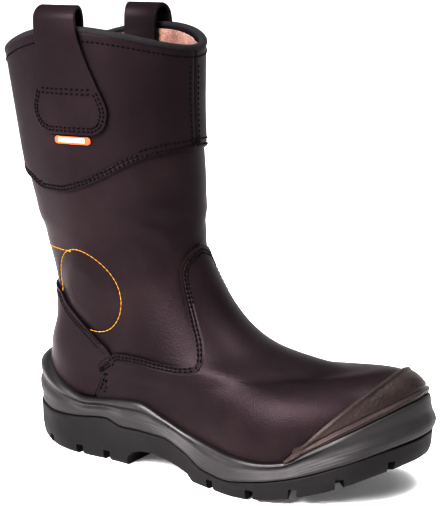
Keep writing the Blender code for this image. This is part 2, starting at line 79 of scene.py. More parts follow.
ROW_STEPS = np.linalg.norm(np.diff(LAST[:, :4], axis=0), axis=1)
LEVELS = np.concatenate([[0], np.cumsum(ROW_STEPS)]) / ROW_STEPS.sum()
DIP_PLACE, DIP_WIDTH = 0.68, 0.22


def curve(knots, values, at):
    """Smooth curve through values at knots, without overshoot."""
    knots = np.asarray(knots, float)
    at = np.clip(np.asarray(at, float), knots[0], knots[-1])
    values = np.asarray(values, float)
    if values.ndim == 1:
        values = values.reshape(-1, *[1] * at.ndim)
    values = np.broadcast_to(values, (len(knots), *at.shape))
    steps = np.diff(knots).reshape(-1, *[1] * at.ndim)
    rates = np.diff(values, axis=0) / steps
    before, after = rates[:-1], rates[1:]
    same = before * after > 0
    weight_before = 2 * steps[1:] + steps[:-1]
    weight_after = steps[1:] + 2 * steps[:-1]
    safe_before = np.where(same, before, 1)
    safe_after = np.where(same, after, 1)
    mean = (weight_before + weight_after) / (weight_before / safe_before + weight_after / safe_after)
    slopes = np.concatenate([rates[:1], np.where(same, mean, 0), rates[-1:]])
    i = np.clip(np.searchsorted(knots, at, side="right") - 1, 0, len(knots) - 2)
    step = knots[i + 1] - knots[i]
    s = (at - knots[i]) / step

    def pick(table, index):
        return np.take_along_axis(table, index[None], axis=0)[0]

    return (
        (2 * s**3 - 3 * s**2 + 1) * pick(values, i)
        + (s**3 - 2 * s**2 + s) * step * pick(slopes, i)
        + (3 * s**2 - 2 * s**3) * pick(values, i + 1)
        + (s**3 - s**2) * step * pick(slopes, i + 1)
    )


def ease(low, high, at):
    """0 below low, 1 above high and a soft ramp between."""
    t = np.clip((at - low) / (high - low), 0, 1)
    return t * t * (3 - 2 * t)


def hump(at, place, width):
    """Soft hump of height 1 round a place."""
    return np.exp(-(((at - place) / width) ** 2))


def halve(low, high, is_low, rounds=22):
    """Place between two ends at which a test turns false, found by halving."""
    for _ in range(rounds):
        middle = (low + high) / 2
        test = is_low(middle)
        low, high = np.where(test, middle, low), np.where(test, high, middle)
    return (low + high) / 2


def drawn_point(bearing, level):
    """Point of the last as its rows draw it: bearing in radians from the toe round the outer side, level from
    the feather line (0) to the collar (1)."""
    bearing, level = np.broadcast_arrays(np.asarray(bearing, float), np.asarray(level, float))
    column = {name: curve(LEVELS, LAST[:, n], level) for n, name in enumerate(LAST_COLUMNS)}
    along = (1 + np.cos(bearing)) / 2
    x = column["back_run"] + along * (column["front_run"] - column["back_run"])
    z = column["back_rise"] + along * (column["front_rise"] - column["back_rise"])
    z = z - column["dip"] * hump(along, DIP_PLACE, DIP_WIDTH) + column["saddle"] * np.sin(bearing) ** 2
    closed = np.zeros_like(level)
    squares = np.stack([closed] + [column[name] ** 2 for name in STATIONS] + [closed])
    half = np.sqrt(np.maximum(curve([0.0, *STATIONS.values(), 1.0], squares, along), 0))
    runs, shifts = np.array(SWING_ROWS).T
    straight = ease(SWING_ENDS[0] * COLLAR_HEIGHT, SWING_ENDS[1] * COLLAR_HEIGHT, z)
    swing = curve(runs * SOLE_LENGTH, shifts, x) * (1 - straight)
    y = swing - np.sign(np.sin(bearing)) * half
    return np.stack([x + HEEL_BACK, y, z], axis=-1)


FAIR_ROUND = 240
FAIR_UP = 240
SPREAD_ROUND, SPREAD_UP = 4.5, 6.0


def blur(table, spread, wrap):
    """Table smoothed down its rows, which close up on themselves or keep their ends."""
    reach = int(3 * spread) + 1
    head, tail = table[-reach:], table[:reach]
    if not wrap:
        head, tail = 2 * table[:1] - table[reach:0:-1], 2 * table[-1:] - table[-2:-reach - 2:-1]
    padded = np.concatenate([head, table, tail])
    weights = np.exp(-0.5 * (np.arange(-reach, reach + 1) / spread) ** 2)
    return sum(w * padded[n:n + len(table)] for n, w in enumerate(weights / weights.sum()))


def fair(table, spread, wrap):
    """Smooths out bumps and hollows, and keeps the size."""
    smooth = blur(table, spread, wrap)
    return 2 * smooth - blur(smooth, spread, wrap)


fair_turns = np.arange(FAIR_ROUND) / FAIR_ROUND * 2 * math.pi
LAST_TABLE = drawn_point(fair_turns[:, None], np.linspace(0, 1, FAIR_UP + 1)[None, :])
LAST_TABLE = fair(fair(LAST_TABLE, SPREAD_ROUND, True).swapaxes(0, 1), SPREAD_UP, False)
LAST_TABLE = np.concatenate([
    2 * LAST_TABLE[:1] - LAST_TABLE[1:2], LAST_TABLE, 2 * LAST_TABLE[-1:] - LAST_TABLE[-2:-1]
])


def last_point(bearing, level):
    """Point of the faired last, on a smooth sheet drawn through its table."""
    bearing, level = np.broadcast_arrays(np.asarray(bearing, float), np.asarray(level, float))
    column = np.mod(bearing / (2 * math.pi), 1) * FAIR_ROUND
    row = np.clip(level, 0, 1) * FAIR_UP
    i, j = np.floor(column).astype(int), np.minimum(np.floor(row).astype(int), FAIR_UP - 1)

    def weights(t):
        return ((1 - t) ** 3 / 6, (3 * t**3 - 6 * t**2 + 4) / 6, (-3 * t**3 + 3 * t**2 + 3 * t + 1) / 6, t**3 / 6)

    point = np.zeros((*i.shape, 3))
    for a, across in enumerate(weights(column - i)):
        for b, up in enumerate(weights(row - j)):
            point += (across * up)[..., None] * LAST_TABLE[j + b, (i + a - 1) % FAIR_ROUND]
    return point


def last_normal(bearing, level):
    """Outward direction of the skin."""
    step = 0.002
    bearing, level = np.broadcast_arrays(np.asarray(bearing, float), np.asarray(level, float))
    round_it = last_point(bearing + step, level) - last_point(bearing - step, level)
    up_it = last_point(bearing, np.minimum(level + step, 1)) - last_point(bearing, np.maximum(level - step, 0))
    normal = np.cross(up_it, round_it)
    return normal / np.linalg.norm(normal, axis=-1, keepdims=True)


def level_at(bearing, height):
    """Level at which the skin reaches a height, along one bearing."""
    bearing, height = np.broadcast_arrays(np.asarray(bearing, float), np.asarray(height, float))

    def below(level):
        return last_point(bearing, level)[..., 2] < height

    return halve(np.zeros(bearing.shape), np.ones(bearing.shape), below)


def wall_point(bearing, height, outset):
    """Point at a height, an outset away from the skin in plan, or straight above the collar."""
    bearing, height, outset = np.broadcast_arrays(bearing, height, outset)
    level = level_at(bearing, height)
    normal = last_normal(bearing, level) * (1, 1, 0)
    normal = normal / np.linalg.norm(normal, axis=-1, keepdims=True)
    point = last_point(bearing, level) + outset[..., None] * normal
    point[..., 2] = height
    return point


def bearing_at(run, height):
    """Bearing on the outer side at which the skin has this run and height."""
    run, height = np.broadcast_arrays(np.asarray(run, float), np.asarray(height, float))

    def ahead(bearing):
        return last_point(bearing, level_at(bearing, height))[..., 0] > run + HEEL_BACK

    return halve(np.zeros(run.shape), np.full(run.shape, math.pi), ahead, 20)


def both_sides(bearing):
    """Bearing in degrees, 0 at the toe to 180 at the heel, alike on both sides."""
    return np.degrees(np.arccos(np.cos(bearing)))


# Heights of the sole's lines by bearing, in degrees from the toe tip to the back of the heel
SOLE_COLUMNS = ("bearing", "tread", "joint", "top", "flare")
SOLE_ROWS = np.array((
    (0, 0.0290, 0.0455, 0.0710, 0.0040),
    (12, 0.0280, 0.0440, 0.0690, 0.0040),
    (24, 0.0240, 0.0405, 0.0640, 0.0030),
    (38, 0.0150, 0.0315, 0.0530, 0.0015),
    (48, 0.0085, 0.0240, 0.0415, 0.0000),
    (57, 0.0040, 0.0185, 0.0300, 0.0000),
    (66, 0.0010, 0.0140, 0.0275, 0.0005),
    (74, 0.0000, 0.0110, 0.0280, 0.0015),
    (82, 0.0000, 0.0130, 0.0305, 0.0015),
    (90, 0.0000, 0.0215, 0.0345, 0.0005),
    (98, 0.0000, 0.0280, 0.0420, 0.0000),
    (107, 0.0000, 0.0285, 0.0500, 0.0000),
    (113, 0.0000, 0.0280, 0.0490, 0.0000),
    (120, 0.0000, 0.0320, 0.0465, 0.0000),
    (129, 0.0000, 0.0300, 0.0445, 0.0010),
    (137, 0.0000, 0.0285, 0.0490, 0.0020),
    (148, 0.0000, 0.0272, 0.0560, 0.0030),
    (165, 0.0020, 0.0280, 0.0640, 0.0055),
    (180, 0.0030, 0.0290, 0.0670, 0.0065),
))


def sole_height(column, bearing):
    return curve(SOLE_ROWS[:, 0], SOLE_ROWS[:, SOLE_COLUMNS.index(column)], both_sides(bearing))


def lay_grid(name, points, polish=None):
    """Grid primitive whose rows and columns of points are laid in place. Columns run against the bearing, so
    that the faces point outwards. Points may be polished, from 0 to 1."""
    rows, columns = points.shape[:2]
    bpy.ops.object.select_all(action="DESELECT")
    bpy.ops.mesh.primitive_grid_add(x_subdivisions=columns - 1, y_subdivisions=rows - 1, size=2)
    piece = bpy.context.object
    piece.name = piece.data.name = name
    flat = np.empty(3 * len(piece.data.vertices))
    piece.data.vertices.foreach_get("co", flat)
    flat = flat.reshape(-1, 3)
    column = np.rint((flat[:, 0] + 1) / 2 * (columns - 1)).astype(int)
    row = np.rint((flat[:, 1] + 1) / 2 * (rows - 1)).astype(int)
    piece.data.vertices.foreach_set("co", points[row, column].ravel())
    if polish is not None:
        layer = piece.data.attributes.new("polish", "FLOAT", "POINT")
        layer.data.foreach_set("value", polish[row, column])
    piece.data.update()
    return piece


def select_only(piece):
    bpy.ops.object.select_all(action="DESELECT")
    piece.select_set(True)
    bpy.context.view_layer.objects.active = piece


def face_outwards(piece, merge=0.0):
    """Turns a piece's faces outwards, with its points merged first where they are this close."""
    select_only(piece)
    bpy.ops.object.mode_set(mode="EDIT")
    bpy.ops.mesh.select_all(action="SELECT")
    if merge:
        bpy.ops.mesh.remove_doubles(threshold=merge)
    bpy.ops.mesh.normals_make_consistent(inside=False)
    bpy.ops.object.mode_set(mode="OBJECT")


SEAM_MERGE = 0.00002


def close_seams(piece):
    face_outwards(piece, SEAM_MERGE)


def apply_modifier(piece, name, kind, **settings):
    """Adds a modifier with these settings and applies it at once."""
    step = piece.modifiers.new(name, kind)
    for key, value in settings.items():
        setattr(step, key, value)
    bpy.context.view_layer.objects.active = piece
    bpy.ops.object.modifier_apply(modifier=step.name)


def dress(piece, material, slot, *nodes, angle=40):
    """Gives a finished piece its material, its smooth shading and its place in the boot."""
    piece.data.materials.clear()
    piece.data.materials.append(material)
    select_only(piece)
    bpy.ops.object.shade_smooth_by_angle(angle=math.radians(angle))
    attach(piece, "root")
    if nodes:
        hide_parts(*nodes)


def add_node(material, kind, inputs=(), **settings):
    """Shader node whose inputs are constants or other nodes' outputs."""
    node = material.node_tree.nodes.new(kind)
    for key, value in settings.items():
        setattr(node, key, value)
    for key, value in dict(inputs).items():
        if isinstance(value, bpy.types.NodeSocket):
            material.node_tree.links.new(value, node.inputs[key])
        else:
            node.inputs[key].default_value = value
    return node


def ramp(material, value, stops):
    node = add_node(material, "ShaderNodeValToRGB", {"Fac": value})
    while len(node.color_ramp.elements) < len(stops):
        node.color_ramp.elements.new(0.5)
    for element, (place, colour) in zip(node.color_ramp.elements, stops):
        element.position = place
        element.color = (*colour, 1)
    return node.outputs["Color"]


def noise_value(material, coordinates, scale, detail=4, rough=0.55):
    inputs = {"Vector": coordinates, "Scale": scale, "Detail": detail, "Roughness": rough}
    return add_node(material, "ShaderNodeTexNoise", inputs).outputs["Fac"]


def between(material, value, low, high):
    return add_node(material, "ShaderNodeMapRange", {"Value": value, "To Min": low, "To Max": high}).outputs[0]


def bump(material, height, depth, strength, before=None):
    inputs = {"Height": height, "Distance": depth, "Strength": strength}
    if before:
        inputs["Normal"] = before
    return add_node(material, "ShaderNodeBump", inputs).outputs["Normal"]


def new_material(name):
    material = bpy.data.materials.new(name)
    material.use_nodes = True
    shader = material.node_tree.nodes["Principled BSDF"]
    coordinates = add_node(material, "ShaderNodeTexCoord").outputs["Object"]
    return material, shader, coordinates


def plug(material, shader, **sockets):
    for key, value in sockets.items():
        key = key.replace("_", " ")
        if isinstance(value, bpy.types.NodeSocket):
            material.node_tree.links.new(value, shader.inputs[key])
        else:
            shader.inputs[key].default_value = value


def moulded(name, dark, light, rough, speckle, shine, polish=0.0):
    """Moulded rubber or foam: a faint cloud in its colour and a fine spark-eroded texture, smoother where the
    mould was polished."""
    material, shader, at = new_material(name)
    cloud = noise_value(material, at, 28, 6)
    colour = ramp(material, cloud, ((0.30, dark), (0.72, light)))
    fine = noise_value(material, at, 2600, 2)
    coarse = noise_value(material, at, 420, 3)
    normal = bump(material, fine, 0.00012, speckle)
    normal = bump(material, coarse, 0.0002, speckle * 0.6, normal)
    gloss = between(material, noise_value(material, at, 90, 4), rough - 0.08, rough + 0.08)
    if polish:
        polished = add_node(material, "ShaderNodeAttribute", attribute_name="polish").outputs["Fac"]
        less = add_node(material, "ShaderNodeMath", {0: polished, 1: polish}, operation="MULTIPLY").outputs[0]
        gloss = add_node(material, "ShaderNodeMath", {0: gloss, 1: less}, operation="SUBTRACT").outputs[0]
    plug(material, shader, Base_Color=colour, Roughness=gloss, Normal=normal, Specular_IOR_Level=shine)
    return material


# Bearings of the columns round the boot, closer together along its sides
AROUND = 280
CROWDING = 0.15
turns = np.linspace(1, 0, AROUND + 1) * 2 * math.pi
ROUND = turns + CROWDING * np.sin(2 * turns)
tread = sole_height("tread", ROUND)
joint = sole_height("joint", ROUND)
top = sole_height("top", ROUND)
flare = sole_height("flare", ROUND)
GAP = 0.0004
# Side of the rubber: share of its height, and outset from the leather
OUTSOLE_SIDE = ((0.00, 0.0036), (0.04, 0.0052), (0.10, 0.0062), (0.55, 0.0076), (0.80, 0.0077), (0.90, 0.0080),
                (0.97, 0.0079), (1.00, 0.0068))
shares, outsets = np.array(OUTSOLE_SIDE).T


def across(ring, share):
    """Ring drawn in towards the middle line of the sole, where the two sides meet."""
    return ring * (1 - share) + ring[::-1] * share


side_shares = np.concatenate([np.linspace(0, 0.1, 5), np.linspace(0.15, 0.9, 12), np.linspace(0.92, 1, 5)])
side = [wall_point(ROUND, tread + s * (joint - tread), flare + curve(shares, outsets, s)) for s in side_shares]
under = [across(side[0], share) for share in (0.5, 0.4, 0.3, 0.2, 0.1, 0.04)]
over = [across(side[-1], share) for share in (0.1, 0.3, 0.5)]
outsole = lay_grid("rubber_outsole", np.array(under + side + over))
close_seams(outsole)

# Gap under the arch as it shows from the side, grooves between the lugs (run, and reach from the edge), and
# short slots across the middle of the tread (run, and place across)
ARCH_REACH = 0.1
ARCH_ROWS = (
    (0.1085, -0.002), (0.1098, 0.005), (0.1110, 0.008), (0.1150, 0.0115), (0.1230, 0.0138), (0.1330, 0.0145),
    (0.1450, 0.0125), (0.1560, 0.0095), (0.1640, 0.0065), (0.1676, 0.002), (0.1690, -0.002)
)
GROOVE_ROWS = (
    (0.040, 0.018), (0.067, 0.026), (0.091, 0.026), (0.188, 0.028), (0.220, 0.030), (0.246, 0.028), (0.273, 0.022),
    (0.294, 0.014)
)
GROOVE_LINE = 0.0317
GROOVE_WIDTH = 0.0058
GROOVE_DEPTH = 0.0075
TREAD_EDGE = 0.006
CUTTER_OVERRUN = 0.006
CUTTER_BELOW = 0.008
SLOT_SIZE = (0.0035, 0.030, 0.006)
SLOT_ROWS = ((0.052, 0.0), (0.079, 0.0), (0.098, 0.0), (0.178, 0.0), (0.204, 0.001), (0.232, 0.004))


def cut_away(piece, cutter):
    apply_modifier(piece, cutter.name, "BOOLEAN", operation="DIFFERENCE", solver="EXACT", object=cutter)
    bpy.data.objects.remove(cutter, do_unlink=True)


def add_block(middle, turn, size):
    bpy.ops.object.select_all(action="DESELECT")
    bpy.ops.mesh.primitive_cube_add(size=1, location=middle, rotation=(0, 0, turn), scale=size)
    return bpy.context.object


bpy.ops.object.select_all(action="DESELECT")
bpy.ops.mesh.primitive_circle_add(vertices=len(ARCH_ROWS), radius=1, fill_type="NGON")
arch = bpy.context.object
for vertex, (run, height) in zip(arch.data.vertices, ARCH_ROWS):
    vertex.co = (run + HEEL_BACK, -ARCH_REACH, height)
bpy.ops.object.mode_set(mode="EDIT")
bpy.ops.mesh.select_all(action="SELECT")
bpy.ops.mesh.extrude_region_move(TRANSFORM_OT_translate={"value": (0, 2 * ARCH_REACH, 0)})
bpy.ops.object.mode_set(mode="OBJECT")
face_outwards(arch)
cut_away(outsole, arch)

blocks = []
for run, reach in GROOVE_ROWS:
    outer = float(bearing_at(run, GROOVE_LINE))
    for bearing in (outer, 2 * math.pi - outer):
        base = float(sole_height("tread", np.array(bearing)))
        edge = Vector(wall_point(np.array(bearing), base, TREAD_EDGE + CUTTER_OVERRUN))
        inner = Vector(wall_point(np.array(bearing), base, TREAD_EDGE - reach))
        inwards = (inner - edge) * Vector((1, 1, 0))
        middle = edge + inwards / 2
        middle.z = base + (GROOVE_DEPTH - CUTTER_BELOW) / 2
        size = (inwards.length, GROOVE_WIDTH, GROOVE_DEPTH + CUTTER_BELOW)
        blocks.append(add_block(middle, math.atan2(inwards.y, inwards.x), size))
for run, y in SLOT_ROWS:
    blocks.append(add_block((run + HEEL_BACK, y, 0), 0.0, SLOT_SIZE))
bpy.ops.object.select_all(action="DESELECT")
for block in blocks:
    block.select_set(True)
bpy.context.view_layer.objects.active = blocks[0]
bpy.ops.object.join()
grooves = bpy.context.object
bpy.ops.object.transform_apply(location=True, rotation=True, scale=True)
cut_away(outsole, grooves)
black_rubber = moulded("matt black rubber", (0.0075, 0.0072, 0.0073), (0.0130, 0.0123, 0.0125), 0.62, 0.30, 0.17)
dress(outsole, black_rubber, "black_rubber", "outsole", angle=30)

# Midsole: satin black foam moulded between the rubber and the leather, with a lower band, a groove and a
# rounded bead along the leather. It forms a low cup round the heel and a bumper in front of the toe.
# Rows are a share of its height, and the outsets from the leather at heel, forefoot and toe.
MIDSOLE_ROWS = np.array((
    (0.00, 0.0062, 0.0070, 0.0104), (0.04, 0.0071, 0.0078, 0.0112), (0.10, 0.0074, 0.0078, 0.0114),
    (0.24, 0.0073, 0.0070, 0.0107), (0.38, 0.0066, 0.0060, 0.0086), (0.47, 0.0052, 0.0053, 0.0069),
    (0.53, 0.0041, 0.0048, 0.0059), (0.60, 0.0036, 0.0044, 0.0051), (0.66, 0.0043, 0.0044, 0.0047),
    (0.74, 0.0055, 0.0048, 0.0044), (0.84, 0.0060, 0.0054, 0.0042), (0.91, 0.0052, 0.0048, 0.0041),
    (0.96, 0.0042, 0.0043, 0.0038), (1.00, 0.0014, 0.0014, 0.0030)
))
TOE_BLEND = (22, 50)
FOREFOOT_BLEND = (96, 112)
FLOW_LINES = (0.17, 0.28, 0.39)
FLOW_WIDTH = 0.018
FLOW_DEPTH = 0.00010
BEAD_FOOT = (0.62, 0.74)
toe_share = 1 - ease(*TOE_BLEND, both_sides(ROUND))
forefoot = 1 - ease(*FOREFOOT_BLEND, both_sides(ROUND))
side = []
side_shares = np.concatenate([np.linspace(0, 0.08, 6), np.linspace(0.1, 1.0, 92)])
for s in side_shares:
    flow = sum(hump(s, line, FLOW_WIDTH) for line in FLOW_LINES)
    heel_out, fore_out, toe_out = (curve(MIDSOLE_ROWS[:, 0], MIDSOLE_ROWS[:, n], s) for n in (1, 2, 3))
    outset = heel_out + forefoot * (fore_out - heel_out) + flare * (1 - s**6)
    outset = outset + toe_share * (toe_out - outset) - FLOW_DEPTH * flow * forefoot
    side.append(wall_point(ROUND, joint + GAP + s * (top - joint - GAP), outset))
floor_line = last_point(ROUND, np.zeros_like(ROUND))[:, 2] - GAP
cup = [wall_point(ROUND, top + s * (floor_line - top), 1.5 * GAP) for s in (0.04, 0.3, 0.6, 1.0)]
under = [across(side[0], share) for share in (0.5, 0.25, 0.05)]
over = [across(cup[-1], share) for share in (0.05, 0.25, 0.5)]
bead = np.concatenate([np.zeros(3), ease(*BEAD_FOOT, side_shares), np.ones(4), np.zeros(3)])
midsole = lay_grid("foam_midsole", np.array(under + side + cup + over), np.outer(bead, 1 - toe_share))
close_seams(midsole)
satin_foam = moulded("satin black foam", (0.0110, 0.0104, 0.0106), (0.0165, 0.0157, 0.0160),
                     0.56, 0.05, 0.33, 0.14)
dress(midsole, satin_foam, "black_moulded_foam", "midsole", angle=50)

# Insole: a flat board of tan felt, cut to the inside of the last with a softly pressed edge. It lies loose in
# the midsole's cup and closes the inside of the boot.
INSOLE_EDGE = ((0.0, 0.0), (0.0030, 0.0), (0.0037, 0.0004), (0.0040, 0.0012))
foot_floor = floor_line + GAP
rims = [wall_point(ROUND, foot_floor + rise, -WALL - 3 * GAP - inset) for rise, inset in INSOLE_EDGE]
under = [across(rims[0], share) for share in (0.5, 0.25)]
over = [across(rims[-1], share) for share in (0.08, 0.2, 0.35, 0.5)]
insole = lay_grid("felt_insole", np.array(under + rims + over))
close_seams(insole)


def pile(name, dark, middle, light, curl, depth):
    """Woollen pile: tan curls with a soft sheen. Its colour is painted darker in the hollows of its bump, as painted
    shade, and drifts in tone at random.
    """
    material, shader, at = new_material(name)
    locks_and_painted_shade = noise_value(material, at, curl, 5, 0.65)
    drift = noise_value(material, at, 45, 3)
    both = add_node(material, "ShaderNodeMath", {0: locks_and_painted_shade, 1: drift}, operation="ADD").outputs[0]
    half = add_node(material, "ShaderNodeMath", {0: both, 1: 0.5}, operation="MULTIPLY").outputs[0]
    # Painted shade: the colour is darker where the bump is low, in the hollows between the curls, and drifts at random.
    colour = ramp(material, half, ((0.34, dark), (0.5, middle), (0.66, light)))
    normal = bump(material, locks_and_painted_shade, depth, 0.9)
    plug(material, shader, Base_Color=colour, Normal=normal, Roughness=0.95, Sheen_Weight=0.12,
         Sheen_Roughness=0.5, Specular_IOR_Level=0.2)
    return material


felt = pile("tan felt", (0.16, 0.085, 0.055), (0.27, 0.15, 0.10), (0.38, 0.23, 0.16), 900, 0.0006)
dress(insole, felt, "insole_board", "insole")

# Upper: dark brown oiled leather, lasted into one hollow piece from the sole to the collar. It is padded in a
# round over each ankle, with a channel where the round is sewn, and has a few soft folds at the bend.
PAD_RUN = 0.0755
PAD_HEIGHT = 0.1253
PAD_LONG = 0.0325
PAD_SHORT = 0.0258
PAD_TURN = math.radians(-45)
PAD_RISE = 0.0024
CHANNEL_DEPTH, CHANNEL_WIDTH = 0.0007, 0.038
SHAFT_RADIUS = 0.062
# Folds: bearing and height of the middle, turn, length, width and depth
FOLD_ROWS = (
    (34, 0.178, 12, 0.050, 0.0060, 0.0009), (52, 0.166, 20, 0.045, 0.0055, 0.0008),
    (70, 0.176, 8, 0.060, 0.0080, 0.0007), (-36, 0.176, -12, 0.050, 0.0060, 0.0009),
    (-55, 0.168, -18, 0.045, 0.0060, 0.0008), (96, 0.170, -8, 0.060, 0.0090, 0.0006),
    (146, 0.165, 6, 0.050, 0.0070, 0.0008), (-150, 0.162, -6, 0.050, 0.0070, 0.0008),
)
COUNTER_EDGE = (
    (100, 0.0845), (103, 0.0895), (107, 0.0955), (118, 0.1065), (125, 0.1130), (132, 0.1210), (150, 0.1240),
    (180, 0.1250)
)


def edge_height(rows, bearing):
    """Height of a panel's cut edge, drawn by bearing in degrees."""
    degrees, heights = np.array(rows).T
    return curve(degrees, heights, both_sides(bearing))


def swell(bearing, point):
    """How far the ankle pads stand out, with their sewn channel. They end at the counter."""
    run, rise = point[..., 0] - HEEL_BACK - PAD_RUN, point[..., 2] - PAD_HEIGHT
    long = run * math.cos(PAD_TURN) + rise * math.sin(PAD_TURN)
    short = rise * math.cos(PAD_TURN) - run * math.sin(PAD_TURN)
    share = np.hypot(long / PAD_LONG, short / PAD_SHORT)
    cushion = PAD_RISE * (1 - ease(0.45, 1.02, share)) - CHANNEL_DEPTH * hump(share, 1, CHANNEL_WIDTH)
    return cushion * ease(-0.0010, 0.0030, point[..., 2] - edge_height(COUNTER_EDGE, bearing))


def folds(bearing, point):
    """Soft troughs of the worn leather, each with a low ridge beside it."""
    depth = np.zeros(point.shape[:-1])
    for fold_bearing, height, turn, length, width, deep in FOLD_ROWS:
        middle = last_point(math.radians(fold_bearing), level_at(math.radians(fold_bearing), height))
        beside = (np.mod(bearing - math.radians(fold_bearing) + math.pi, 2 * math.pi) - math.pi) * SHAFT_RADIUS
        rise = point[..., 2] - middle[2]
        tilt = math.radians(turn)
        along = beside * math.cos(tilt) + rise * math.sin(tilt)
        off = rise * math.cos(tilt) - beside * math.sin(tilt)
        depth += deep * hump(along, 0, length / 2) * (0.6 * hump(off, 1.5 * width, width) - hump(off, 0, width))
    return depth


def skin(bearing, level, offset):
    """Point that lies an offset outside the leather."""
    bearing, level = np.broadcast_arrays(bearing, level)
    point = last_point(bearing, level)
    out = offset + swell(bearing, point) + folds(bearing, point)
    return point + np.asarray(out)[..., None] * last_normal(bearing, level)


def add_wall(piece, thickness, edge):
    """Gives a laid sheet its thickness inwards and rounds its cut edges."""
    apply_modifier(piece, "wall", "SOLIDIFY", thickness=thickness, offset=-1, use_quality_normals=True)
    if edge:
        apply_modifier(piece, "edge", "BEVEL", width=edge, segments=2, limit_method="ANGLE",
                       angle_limit=math.radians(55))


def leather(name, dark, middle, light, rough, grain, depth, coat=0.0):
    """Oiled leather: cloudy colour, fine pores, a pebbled grain and gloss that drifts."""
    material, shader, at = new_material(name)
    cloud = noise_value(material, at, 16, 7, 0.6)
    colour = ramp(material, cloud, ((0.28, dark), (0.52, middle), (0.78, light)))
    pebble = add_node(material, "ShaderNodeTexVoronoi", {"Vector": at, "Scale": grain, "Randomness": 1.0})
    pores = noise_value(material, at, grain * 3.1, 3)
    drawn = noise_value(material, at, 120, 4)
    normal = bump(material, pebble.outputs["Distance"], 0.0004, depth)
    normal = bump(material, pores, 0.00015, depth * 0.8, normal)
    normal = bump(material, drawn, 0.0008, depth * 0.35, normal)
    gloss = between(material, noise_value(material, at, 34, 5), rough - 0.09, rough + 0.09)
    plug(material, shader, Base_Color=colour, Roughness=gloss, Normal=normal, Coat_Weight=coat, Coat_Roughness=0.35,
         Specular_IOR_Level=0.11, Specular_Tint=(1.0, 0.87, 0.92, 1))
    return material


oiled = leather(
    "oiled brown leather", (0.0066, 0.0043, 0.0049), (0.0115, 0.0075, 0.0085), (0.0190, 0.0122, 0.0134), 0.42, 900, 0.24
)
# The rows lie closest between the vamp's edge and the top of the ankle pads
marks = level_at(math.pi / 2, np.array((0.084, 0.162, 0.214)))
levels = np.concatenate([
    np.linspace(0, marks[0], 14, endpoint=False), np.linspace(marks[0], marks[1], 84, endpoint=False),
    np.linspace(marks[1], marks[2], 36, endpoint=False), np.linspace(marks[2], 1, 12)
])[:, None]
upper = lay_grid("leather_upper", skin(ROUND[None, :], levels, 0.0))
close_seams(upper)
add_wall(upper, WALL, 0)
dress(upper, oiled, "brown_leather", "upper")

# Lining: tan fleece with a curled woollen pile on a thin knitted back. It is glued to the inside of the leather
# from the foot to the collar, and its top edge is caught under the binding.
FLEECE_PILE = 0.0016
FLEECE_TUFT = 0.0011
FLEECE_BACK = 0.0012
TUFT_SCALE, CLUMP_SCALE = 230, 75
LINING_ENDS = (0.02, 0.9965)
lining_round = ROUND[::2]
levels = np.linspace(*LINING_ENDS, 150)[:, None]
base = last_point(lining_round[None, :], levels)
out = last_normal(lining_round[None, :], levels)
tuft = np.array([
    noise.fractal(Vector(p) * TUFT_SCALE, 0.9, 2.1, 4) + 0.6 * noise.noise(Vector(p) * CLUMP_SCALE)
    for p in base.reshape(-1, 3)
]).reshape(base.shape[:2])
tuft[:, -1] = tuft[:, 0]
fleece_points = base - (WALL + FLEECE_PILE + FLEECE_TUFT * tuft)[..., None] * out
fleece = lay_grid("fleece_lining", fleece_points)
close_seams(fleece)
add_wall(fleece, -FLEECE_BACK, 0)
fleece_tan = pile("tan fleece", (0.062, 0.034, 0.027), (0.135, 0.081, 0.065), (0.22, 0.145, 0.119), 620, 0.0014)
dress(fleece, fleece_tan, "insole_board")

# Vamp: one leather piece over toe, instep and both sides, cut round behind the ankle and sewn down with two
# rows of dark thread along its edge
OVERLAY = 0.0018
CUT_ROUNDING = 0.0005
TUCK = 0.001
VAMP_EDGE = (
    (0, 0.1600), (14, 0.1560), (22, 0.1510), (27, 0.1455), (30, 0.1400), (35, 0.1250), (40, 0.1095), (46, 0.0973),
    (52, 0.0900), (57, 0.0855), (63, 0.0824), (70, 0.0812), (77, 0.0820), (85, 0.0834), (92, 0.0836), (98, 0.0825),
    (102, 0.0800), (111, 0.0745), (118, 0.0670), (122, 0.0550), (125, 0.0460)
)
VAMP_END = 124
CAP_RUN = 0.239
CAP_FOOT = 0.0317
CAP_LEAN = 1.02
CAP_LAP = 0.010
CAP_THICKNESS = 0.0032


def edge_level(rows, bearing):
    return level_at(bearing, edge_height(rows, bearing))


def cap_level(bearing):
    """Level at which the skin passes the back edge of the toe cap."""

    def under_cap(level):
        point = last_point(bearing, level)
        return point[:, 0] - HEEL_BACK > CAP_RUN + CAP_LEAN * (point[:, 2] - CAP_FOOT)

    return halve(np.zeros(len(bearing)), np.full(len(bearing), 0.5), under_cap)


def cut_edge(rows, bearing):
    """Points along a panel's cut edge, and the directions out from them."""
    level = edge_level(rows, bearing)
    return skin(bearing, level, OVERLAY + GAP), last_normal(bearing, level)


def near_edge(points, edge):
    """Distance of every point from a cut edge."""
    tree = kdtree.KDTree(len(edge))
    for n, point in enumerate(edge):
        tree.insert(point, n)
    tree.balance()
    flat = points.reshape(-1, 3)
    return np.array([tree.find(point)[2] for point in flat]).reshape(points.shape[:-1])


def sewn(distance, rows, depth=0.00045, width=0.0007):
    """Channels that the rows of thread pull into the leather, this far from the edge."""
    return -depth * sum(hump(distance, row, width) for row in rows)


def lay_panel(name, bearings, levels, edge, seams, relief=0.0):
    """Leather panel laid over the upper, with the channels of its seams along its cut edge."""
    flat = skin(bearings[None, :], levels, OVERLAY + GAP)
    channels = sewn(near_edge(flat, edge), seams)
    return lay_grid(name, skin(bearings[None, :], levels, OVERLAY + GAP + channels + relief))


def to_edge(count, crowding):
    """Shares of the way up to a cut edge, closest together at the edge."""
    return (1 - (1 - np.linspace(0, 1, count)) ** crowding)[:, None]


def spread(first, last, count):
    """Bearings from one end to the other, against the bearing, so that faces point outwards."""
    return np.radians(np.linspace(last, first, count))


